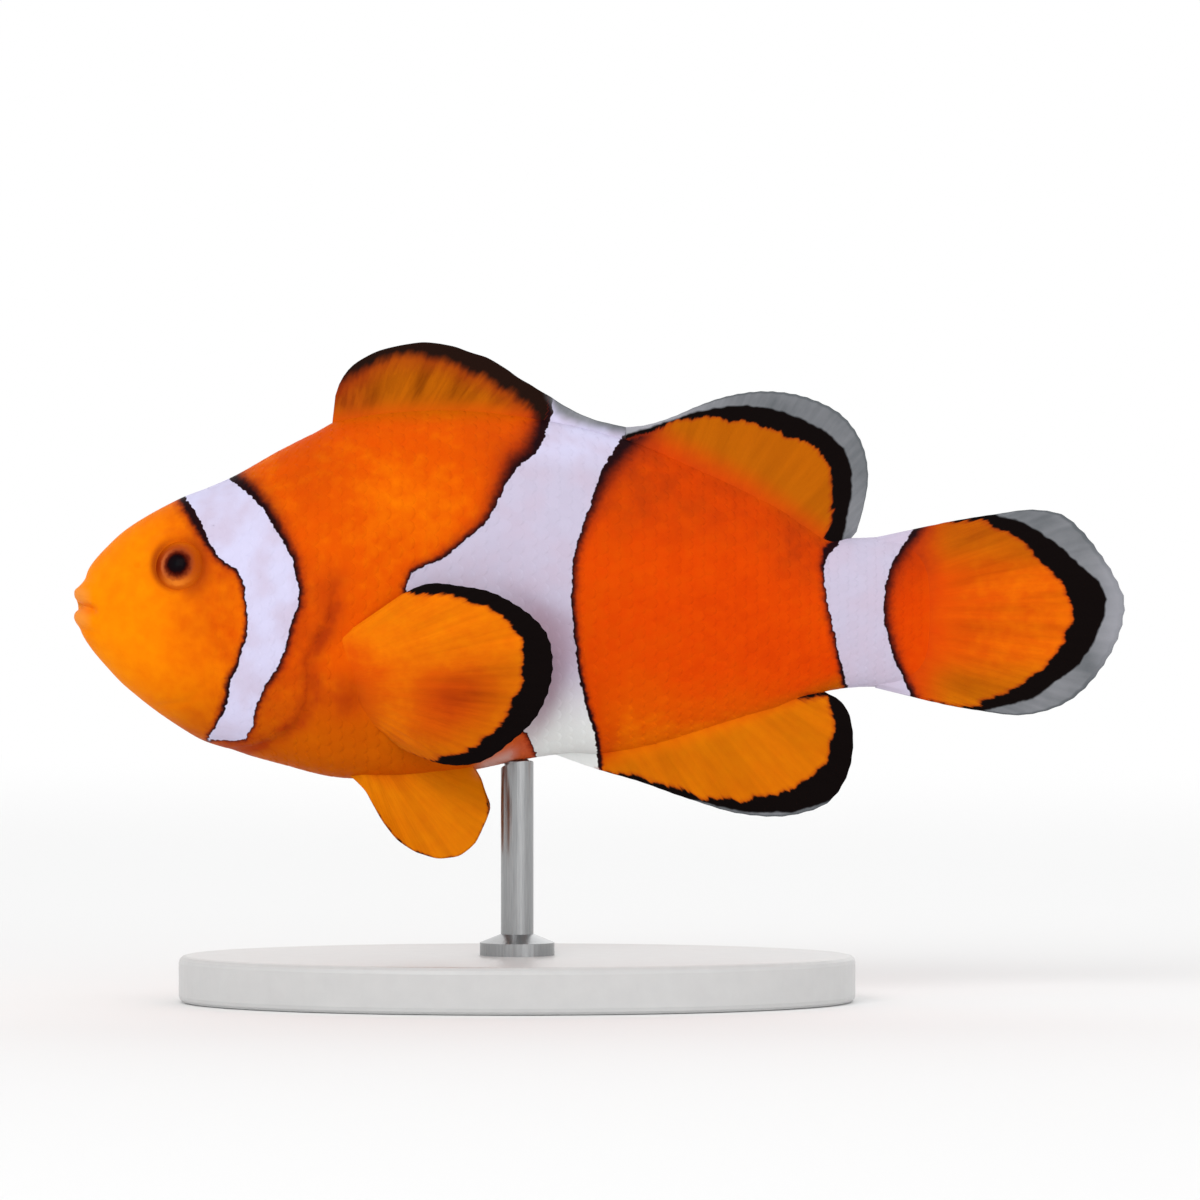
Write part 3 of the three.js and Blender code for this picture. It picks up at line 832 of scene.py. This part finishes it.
def make_fin(node, rays, root, edge, place, paint, branching=True, lean=1, fillet=1.3):
    """A sheet of rays and web, thick at the root, that runs from root to edge."""
    columns = rays * RAY_STEPS
    piece = start(
        bpy.ops.mesh.primitive_grid_add, x_subdivisions=columns, y_subdivisions=REACH_STEPS, size=1
    )
    share, reach, _ = points_of(piece.data).T + 0.5
    reach = reach**0.85
    ray = ray_pattern(share, reach, rays, branching)
    tip_at, tip_height = edge(share**lean)
    root_at, root_height = root(share)
    pull = 1 - (1 - ray) * 0.006 * ramp(reach, 0.75, 1)
    at = root_at + (tip_at - root_at) * reach * pull
    height = root_height + (tip_height - root_height) * reach * pull
    side = place(at, share, reach)
    move_points(piece.data, world(at, side, height))
    carry(piece.data, {"ray": ray, "reach": reach} | paint(at, side, height, reach))

    raised = RIDGE * ray * ramp(reach, 0.08, 0.43) * (1 - 0.8 * reach)
    half = fillet * (1 - reach) ** 2.5 + WEB_HALF + raised
    ends = ramp(np.minimum(share, 1 - share) * columns, 0, 6)
    thicken(piece, np.maximum(half * (0.35 + 0.65 * ends), LEAST_HALF))
    finish_piece(piece, f"{node}_skin", fin_paint, "fin", node)


def upright(at, share, reach):
    """On the midline, with a faint wave."""
    return 0.1 * reach * np.sin(share * 19)


def rooted(line, first, last, depth):
    """A root that runs along the back or the belly, so deep in it."""

    def root(share):
        at = first + (last - first) * share
        return at, line(at) + depth

    return root


def inked(inner, outer, web):
    """Paint for a fin: black past its inner line, grey past its outer one, and its own web."""

    def paint(at, side, height, reach):
        marks = markings(at, side, height)
        for name, line in (("ink", inner), ("haze", outer)):
            marks[name] = distance(at, height, line) if line else ABSENT
        marks["soft"] = INK_SOFTNESS
        return marks | web(at, height, reach, marks)

    return paint


spiny_edge = smooth_path([
    (22.2, 16.0), (22.35, 17.7), (22.8, 19.1), (23.7, 20.4), (25.3, 21.45), (27.1, 22.1),
    (28.9, 22.45), (31.0, 22.5), (33.9, 21.75), (35.9, 21.0), (38.0, 19.6), (40.8, 17.9),
    (42.4, 16.9), (44.2, 16.05), (47.35, 15.25),
])
SPINY_INNER = [
    (39.8, 14.0), (39.4, 16.2), (38.8, 17.2), (37.6, 18.1), (35.8, 19.1), (33.5, 20.3),
    (31.8, 21.0), (29.6, 21.4), (27.2, 21.1), (25.4, 20.5), (24.0, 19.6), (22.8, 18.9),
    (21.0, 18.2),
]
SPINY_GREY = [
    (47.8, 14.6), (46.4, 14.8), (44.2, 15.3), (42.5, 15.85), (41.3, 16.5), (40.6, 18.2),
]


def spiny_web(at, height, reach, marks):
    web = marks["web"]
    above = ramp(height - back(at), 0, 1.8)
    front = ramp(at, 26, 23)
    return {
        "ink": np.where(marks["band"] > -0.3, ABSENT, marks["ink"]),
        "haze": distance(at, height, SPINY_GREY),
        "soft": 1.1 + 0.3 * front,
        "tone": marks["tone"] + 0.3 * web,
        "rust": marks["rust"] + 0.6 * ramp(at, 27.5, 23.5) * web,
        "ochre": marks["ochre"] * (0.8 + 0.2 * above),
        "streaks": web * ramp(at, 42, 40) * (0.25 + 0.75 * above) * (0.65 + 0.35 * front),
    }


make_fin(
    "dorsal_fin_spiny", 11, rooted(back, 21.9, 47.3, -ROOT_DEPTH), spiny_edge,
    upright, inked(SPINY_INNER, None, spiny_web), branching=False, lean=0.58,
)

soft_edge = smooth_path([
    (47.3, 15.25), (48.8, 15.4), (50.2, 15.75), (51.6, 16.25), (53.2, 16.95), (55.4, 17.75),
    (59.4, 18.35), (63.2, 17.7), (65.9, 16.25), (67.6, 13.8), (68.1, 11.2), (67.7, 8.4),
    (67.1, 6.3),
])
SOFT_INNER = [
    (64.0, 4), (64.3, 5.4), (64.8, 7.1), (65.1, 8.8), (65.05, 10.85), (64.4, 12.4), (63.0, 13.85),
    (60.65, 14.85), (58.9, 15.4), (57.2, 15.75), (54.6, 16.2), (53.4, 16.15), (52.2, 15.85),
    (50.7, 15.3), (49.4, 14.85), (48.0, 14.4), (47.2, 14.0), (45.5, 12.9),
]
SOFT_OUTER = [
    (65.6, 4), (65.8, 5.2), (66.3, 7.4), (66.7, 9.6), (66.7, 11.6), (66.05, 13.4), (64.6, 14.8),
    (62.3, 16.0), (60.0, 16.8), (57.8, 17.1), (55.8, 17.05), (53.6, 16.65), (52.2, 16.2),
    (50.7, 15.7), (49.4, 15.25), (48.0, 14.85), (46.8, 14.4), (45.0, 13.6),
]


def soft_web(at, height, reach, marks):
    web = marks["web"]
    return {
        "rust": marks["rust"] * (1 - web),
        "pale": ramp(at, 56, 51) + 0.4 * ramp(at, 52, 49),
        "streaks": 0.2 * web + 0.3 * web * ramp(at, 54, 48),
    }


make_fin(
    "dorsal_fin_soft", 15, rooted(back, 47.3, 65.4, -ROOT_DEPTH), soft_edge,
    upright, inked(SOFT_INNER, SOFT_OUTER, soft_web),
)

anal_edge = smooth_path([
    (41.1, -12.75), (42.6, -13.3), (45.1, -14.15), (48.2, -15.05), (52.6, -16.6), (57.4, -17.95),
    (61.8, -18.0), (64.8, -16.85), (66.4, -14.4), (66.8, -12.4), (66.75, -10.6), (66.3, -9.0),
    (65.6, -8.15), (64.6, -7.75),
])
ANAL_INNER = [
    (44.5, -14.0), (48.2, -14.7), (50.6, -15.5), (53.8, -16.6), (56.2, -16.8), (58.0, -16.65),
    (60.3, -16.1), (62.7, -15.1), (64.65, -13.35), (65.15, -11.5), (65.0, -9.8), (64.5, -7.9),
    (64.2, -6),
]
ANAL_OUTER = [
    (41.0, -13.4), (43.0, -13.75), (48.0, -15.2), (52.6, -16.65), (57.4, -17.75), (61.8, -17.8),
    (64.8, -16.8), (67.5, -14.5), (67.6, -11), (66, -7),
]


def anal_web(at, height, reach, marks):
    web = marks["web"]
    # Painted shade: the gap between the last ray and the body is inked dark.
    last_ray = from_stroke(at, height, (63.4, -7.7), 1.1)
    return {
        "ink": np.maximum(marks["ink"], 0.28 - last_ray),
        "tone": marks["tone"] * (1 - web) + 0.2 * web,
        "ochre": 0.5 * web,
        "streaks": 0.2 * web,
    }


make_fin(
    "anal_fin", 13, rooted(belly, 41.0, 62.8, ROOT_DEPTH), anal_edge,
    upright, inked(ANAL_INNER, ANAL_OUTER, anal_web),
)

tail_root = smooth_path([(68.7, 5.8), (70.8, -0.7), (68.7, -7.1)])
tail_edge = smooth_path([
    (73.4, 6.75), (79.0, 7.75), (82.8, 8.15), (84.9, 7.7), (86.4, 6.45), (88.0, 4.45), (89.35, 2.3),
    (90.1, 0.4), (90.0, -1.2), (88.4, -5.0), (85.2, -8.3), (81.6, -9.4), (77.6, -9.0), (73.4, -8.2),
])
TAIL_INNER = [
    (73.0, -8.25), (75.5, -8.6), (77.2, -8.6), (78.7, -8.1), (80.4, -7.3), (82.1, -6.1),
    (83.5, -4.8), (84.8, -3.3), (85.6, -1.5), (85.6, 0.4), (84.7, 1.9), (83.3, 3.2), (82.3, 4.7),
    (80.5, 6.0), (78.2, 7.05), (76.0, 7.2), (73.0, 7.0),
]
TAIL_OUTER = [
    (74, -10), (77.5, -9.2), (80.4, -8.5), (82.5, -7.9), (84.4, -6.4), (86.2, -5.1), (87.4, -3.2),
    (88.35, -1.0), (88.55, 0.5), (87.9, 2.1), (86.3, 3.4), (84.8, 4.85), (83.1, 6.1), (81.2, 7.15),
    (79.1, 7.7), (74.5, 8.6),
]


def tail_web(at, height, reach, marks):
    margin = ramp(np.abs(height + 0.7), 2.5, 6.5) * ramp(at, 71.5, 75.5)
    return {
        "rust": marks["rust"] + 0.45 * ramp(at, 75, 72),
        "ochre": 0.7 * margin,
        "streaks": 0.3 * ramp(at, 73, 77) + 0.05 * margin,
    }


def sway(at, share, reach):
    """The tail's lobes bend a little to opposite sides."""
    return -0.5 * reach**2 * np.sin(math.pi * (share - 0.5))


make_fin(
    "tail_fin", 17, tail_root, tail_edge, sway,
    inked(TAIL_INNER, TAIL_OUTER, tail_web), fillet=0.6,
)

pectoral_root = smooth_path([(21.6, -3.7), (24.2, -6.6), (25.8, -9.8)])
pectoral_edge = smooth_path([
    (28.5, 0.95), (30.7, 1.8), (33.5, 1.6), (36.0, 1.1), (37.9, 0.15), (39.5, -1.0),
    (40.7, -2.45), (41.15, -4.3), (41.1, -6.0), (40.5, -8.05), (39.7, -9.5), (38.65, -10.65),
    (37.5, -11.6), (36.4, -12.5), (35.1, -13.2), (33.5, -13.5), (31.9, -13.4), (30.3, -12.95),
    (28.5, -12.2), (27.2, -11.4),
])
PECTORAL_INNER = [
    (24, -11.4), (26.5, -11.7), (28.5, -12.3), (30.3, -12.9), (31.9, -13.0), (33.3, -12.5),
    (34.6, -11.85), (36.0, -10.7), (37.0, -9.5), (37.8, -8.2), (38.3, -6.9), (38.7, -5.6),
    (38.75, -4.4), (38.45, -2.8), (37.85, -1.6), (36.6, -0.65), (35.2, 0.05), (33.6, 0.6),
    (31.3, 0.8), (28.6, 1.15), (26.5, 1.6),
]
# What a fin that stands clear of the body leaves out.
CLEAR = {"band": ABSENT, "rust": 0, "mauve": 0}


def pectoral_web(at, height, reach, marks):
    free = ramp(reach, 0.05, 0.35)
    patch = hump(height + 8.1, 2.5) * ramp(at, 28, 33) * ramp(reach, 0.86, 0.56)
    lower = ramp(height, -1.5, -11.5)
    rim = ramp(reach, 0.5, 0.85) * ramp(height, -2.5, -5.5)
    tone = 0.26 + 0.2 * lower + 0.6 * patch
    ochre = 0.15 + 0.15 * lower + 0.28 * rim
    return CLEAR | {
        "rust": marks["rust"] * (1 - free) + 0.42 * patch,
        "tone": marks["tone"] * (1 - free) + tone * free,
        "ochre": marks["ochre"] * (1 - free) + ochre * free,
        "streaks": 0.2 * ramp(reach, 0.2, 0.6) + 0.3 * patch * ramp(reach, 0.3, 0.6),
    }


def pelvic_web(at, height, reach, marks):
    return CLEAR | {
        "ink": (reach - 1.01) * 14,
        "tone": 0.05 + 0.45 * ramp(reach, 0.4, 0.1),
        "ochre": 0.35 + 0.15 * reach,
        "streaks": 0.2,
    }


pelvic_root = smooth_path([(23.4, -13.3), (25.8, -12.9), (28.2, -12.6)])
pelvic_edge = smooth_path([
    (23.2, -14.2), (24.4, -15.2), (25.1, -15.95), (25.8, -17.1), (26.9, -18.8), (28.2, -20.25),
    (30.0, -21.25), (31.9, -21.6), (33.6, -21.1), (34.7, -19.9), (35.3, -18.5), (35.65, -17.6),
    (35.3, -16.2), (34.6, -14.4), (34.0, -13.4),
])


def flared(direction):
    """A fin that stands out from the flank."""
    root_side = smooth_line([(0, 6.0), (0.5, 5.7), (1, 4.7)])

    def place(at, share, reach):
        out = np.clip((at - pectoral_root(share)[0]) / 15, 0, 1)
        ease = np.sin(out * math.pi / 2)
        return direction * (root_side(share) + 5.2 * ease - 0.9 * reach * (2 * share - 1) ** 2)

    return place


def hanging(direction):
    """A fin that hangs from the belly beside its twin."""

    def place(at, share, reach):
        tucked = ramp(share, -0.03, 0.32) * ramp(share, 1.03, 0.78)
        return direction * (1.3 + 1.9 * tucked * reach**1.5)

    return place


for name, direction in (("left", -1), ("right", 1)):
    make_fin(
        f"pectoral_fin_{name}", 17, pectoral_root, pectoral_edge, flared(direction),
        inked(PECTORAL_INNER, None, pectoral_web), fillet=0.6,
    )
    make_fin(
        f"pelvic_fin_{name}", 6, pelvic_root, pelvic_edge, hanging(direction),
        inked(None, None, pelvic_web), fillet=0.6,
    )

make_skin(skin_finish())
make_scales(scale_finish())


# ---- Eyes ----

EYE_RADIUS, EYE_DEPTH = 2.5, 1.6
EYE_BULGE = 0.35  # how far the eye stands out of the plain body
# From the pupil's middle out to the rim.
EYE_RINGS = [
    (0.0, (0.004, 0.004, 0.0055)),
    (0.28, (0.006, 0.002, 0.003)),
    (0.34, (0.03, 0.002, 0.001)),
    (0.42, (0.11, 0.012, 0.004)),
    (0.5, (0.21, 0.028, 0.007)),
    (0.6, (0.37, 0.052, 0.006)),
    (0.8, (0.54, 0.1, 0.002)),
]


def eye_finish():
    finish = Finish("fish_eye", Roughness=0.15, Specular_IOR_Level=0.012)
    mottle = finish.noise(0.35, 3)
    radius = finish.carried("radius") + (mottle - 0.5) * 0.32
    low, fore, aft = (finish.carried(name) for name in ("low", "fore", "aft"))
    paint = finish.colours(radius / EYE_RADIUS, EYE_RINGS)
    copper = radius.ramp(1.1, 1.35) * (1 - radius.ramp(1.4, 1.65))
    paint = finish.mix(copper * (fore * 0.6 + 0.15), paint, (0.52, 0.12, 0.03))
    # Painted shade of the socket: the eyeball's front rim is dark brown.
    paint = finish.mix(radius.ramp(1.45, 1.75) * fore, paint, (0.26, 0.024, 0.001))
    paint = finish.mix(radius.ramp(1.2, 1.7) * aft, paint, (0.42, 0.065, 0.002))
    # Painted highlight: the iris is lighter below the pupil, with a bright glint crescent there.
    paint = finish.mix(radius.ramp(0.9, 1.5) * low * 0.45, paint, (0.58, 0.12, 0.006))
    glint = low * low * radius.ramp(1.3, 1.55) * (1 - radius.ramp(1.7, 1.95))
    paint = finish.mix(glint * 0.65, paint, (0.82, 0.23, 0.02))
    finish.set(Base_Color=paint)
    return finish.material


def eye_stance():
    """The left eye's middle, and the ways ahead, up and out from there."""
    at, height = EYE
    turns = np.linspace(0, 0.5, 800)
    turn = np.interp(-height, -flesh(np.full(800, at), turns)[:, 2], turns)
    (out,) = facing(np.array([at]), np.array([turn]))
    ahead = np.cross(out, [0, 0, 1])
    ahead /= np.linalg.norm(ahead)
    (middle,) = flesh(np.array([at]), np.array([turn])) + out * (EYE_BULGE - EYE_DEPTH)
    return middle, np.stack([ahead, np.cross(ahead, out), out])


def make_eye(name, mirror, material):
    """A flattened ball with a raised lens."""
    eye = start(bpy.ops.mesh.primitive_uv_sphere_add, segments=72, ring_count=48)
    x, y, z = points_of(eye.data).T
    from_axis = np.hypot(x, y)
    radius = from_axis * EYE_RADIUS
    lens = EYE_DEPTH * z + np.where(z > 0, 0.1 * hump(radius, 1.2), 0)
    middle, ways = eye_stance()
    points = middle + np.stack([EYE_RADIUS * x, EYE_RADIUS * y, lens], -1) @ ways
    points[:, 1] *= mirror
    move_points(eye.data, world(*points.T))
    from_axis = np.maximum(from_axis, 1e-6)
    low, fore, aft = (np.maximum(way / from_axis, 0) ** 2 for way in (-y, x, -x))
    carry(eye.data, {"radius": radius, "low": low, "fore": fore, "aft": aft})
    face_outward(eye)
    finish_piece(eye, f"eyeball_{name}", material, "eye", f"eye_{name}")


eye_paint = eye_finish()
for name, mirror in (("left", 1), ("right", -1)):
    make_eye(name, mirror, eye_paint)


# ---- Stand, floor, light and camera ----


def stand_lacquer():
    finish = Finish("stand_lacquer", Roughness=0.38)
    speck = finish.noise(1.5, 4)
    finish.set(
        Base_Color=finish.mix(speck, (0.5, 0.5, 0.5), (0.56, 0.56, 0.555)),
        Normal=finish.bump(finish.noise(0.6, 3), 0.01),
    )
    return finish.material


def stand_steel():
    finish = Finish("stand_steel", Metallic=1.0)
    stretch = finish.node(
        "ShaderNodeMapping", {}, {"Vector": finish.place(), "Scale": (1.0, 1.0, 0.05)}
    )
    brushed = finish.noise(0.12, 3, stretch)
    finish.set(
        Base_Color=finish.mix(brushed, (0.24, 0.245, 0.25), (0.4, 0.405, 0.41)),
        Roughness=brushed * 0.2 + 0.22,
        Normal=finish.bump(brushed, 0.006),
    )
    return finish.material


def turned(profile, middle, vertices):
    """A disc whose rim is drawn out through (radius, height) pairs about an upright axis."""
    x, y = middle
    radius, height = profile[0]
    piece = start(
        bpy.ops.mesh.primitive_circle_add,
        vertices=vertices, radius=radius, fill_type="NGON", location=(x, y, height),
    )
    bpy.ops.object.transform_apply(location=True, rotation=True, scale=True)
    bpy.ops.object.mode_set(mode="EDIT")
    bpy.ops.mesh.select_all(action="SELECT")
    bpy.ops.mesh.region_to_loop()
    for wider, higher in profile[1:]:
        rise = {"value": (0, 0, higher - height)}
        bpy.ops.mesh.extrude_edges_move(TRANSFORM_OT_translate=rise)
        grow = wider / radius
        bpy.ops.transform.resize(value=(grow, grow, 1), center_override=(x, y, 0))
        radius, height = wider, higher
    return piece


# Radius and height over the rod's top, from the bottom of the pin to its end in the belly.
PIN = ((1.0, -1.0), (1.1, -0.8), (1.1, -0.05), (0.95, 0.1), (0.85, 0.15), (0.85, 2.5))


def make_pin(material):
    """The pin with a shoulder at the rod's top, which goes up into the belly."""
    low, high = (np.array(corner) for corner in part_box("stand_rod"))
    profile = [(radius * MM, high[2] + rise * MM) for radius, rise in PIN]
    pin = turned(profile, ((low + high) / 2)[:2], 48)
    bpy.ops.mesh.edge_face_add()
    bpy.ops.object.mode_set(mode="OBJECT")
    face_outward(pin)
    finish_piece(pin, "stand_pin", material, "stand_steel")
    bpy.ops.object.shade_smooth_by_angle(angle=math.radians(40))


steel = stand_steel()
for node, material in (("stand_base", stand_lacquer()), ("stand_rod", steel)):
    stand = frame["nodes"][node]
    stand.data.materials.clear()
    stand.data.materials.append(material)

make_pin(steel)

FLOOR_RADIUS, FLOOR_BEND, WALL_HEIGHT = 1.1, 0.6, 1.6


def make_floor():
    """A round studio floor that curves up into its wall."""
    bends = [math.pi / 2 * step / 12 for step in range(13)]
    profile = [
        (FLOOR_RADIUS + FLOOR_BEND * math.sin(bend), FLOOR_BEND * (1 - math.cos(bend)))
        for bend in bends
    ]
    profile.append((profile[-1][0], FLOOR_BEND + WALL_HEIGHT))
    floor = turned(profile, (0, 0), 128)
    bpy.ops.mesh.select_all(action="SELECT")
    bpy.ops.mesh.normals_make_consistent(inside=True)
    bpy.ops.object.mode_set(mode="OBJECT")
    floor.name = "studio_floor"
    floor.data.shade_smooth()
    finish = Finish("studio_paper", Roughness=0.9, Specular_IOR_Level=0.0, Emission_Strength=1.0)
    radius = finish.node("ShaderNodeVectorMath", {"operation": "LENGTH"}, {0: finish.place()}, 1)
    far = radius.ramp(0.25, 0.8)
    finish.set(
        Base_Color=finish.mix(far, (0.86, 0.86, 0.86), (0.0, 0.0, 0.0)),
        Emission_Color=finish.mix(far, (0, 0, 0), (1.0, 1.0, 1.0)),
    )
    floor.data.materials.append(finish.material)


make_floor()

LIT = world(45.0, 0, 0.4)  # what the lights aim at
# Each light's way from there, in metres, its width and its watts.
LIGHTS = {
    "key": ((-0.4, -0.85, 0.6), 0.5, 3.4),
    "fill": ((0.5, -0.95, 0.08), 0.8, 2.6),
    "top": ((0.1, 0.1, 0.95), 0.8, 1.2),
    "back": ((0.2, 0.9, 0.6), 0.9, 2),
}
for name, (way, width, watts) in LIGHTS.items():
    data = bpy.data.lights.new(name, "AREA")
    data.size, data.energy = width, watts
    light = bpy.data.objects.new(name, data)
    bpy.context.collection.objects.link(light)
    light.location = LIT + np.array(way)
    light.rotation_euler = (-Vector(way)).to_track_quat("-Z", "Y").to_euler()

studio = bpy.data.worlds.new("studio")
studio.use_nodes = True
surround = studio.node_tree.nodes["Background"].inputs
surround["Color"].default_value = (1, 1, 1, 1)
surround["Strength"].default_value = 0.4
bpy.context.scene.world = studio
bpy.context.scene.view_settings.view_transform = "Standard"

camera_data = bpy.data.cameras.new("camera")
camera_data.lens, camera_data.sensor_width = LENS, SENSOR
camera = bpy.data.objects.new("camera", camera_data)
bpy.context.collection.objects.link(camera)
camera.location = world(VIEW_MIDDLE[0], -VIEWED_FROM, VIEW_MIDDLE[1])
camera.rotation_euler = (math.pi / 2, 0, 0)
camera_data.clip_start, camera_data.clip_end = 0.01, 20
bpy.context.scene.camera = camera
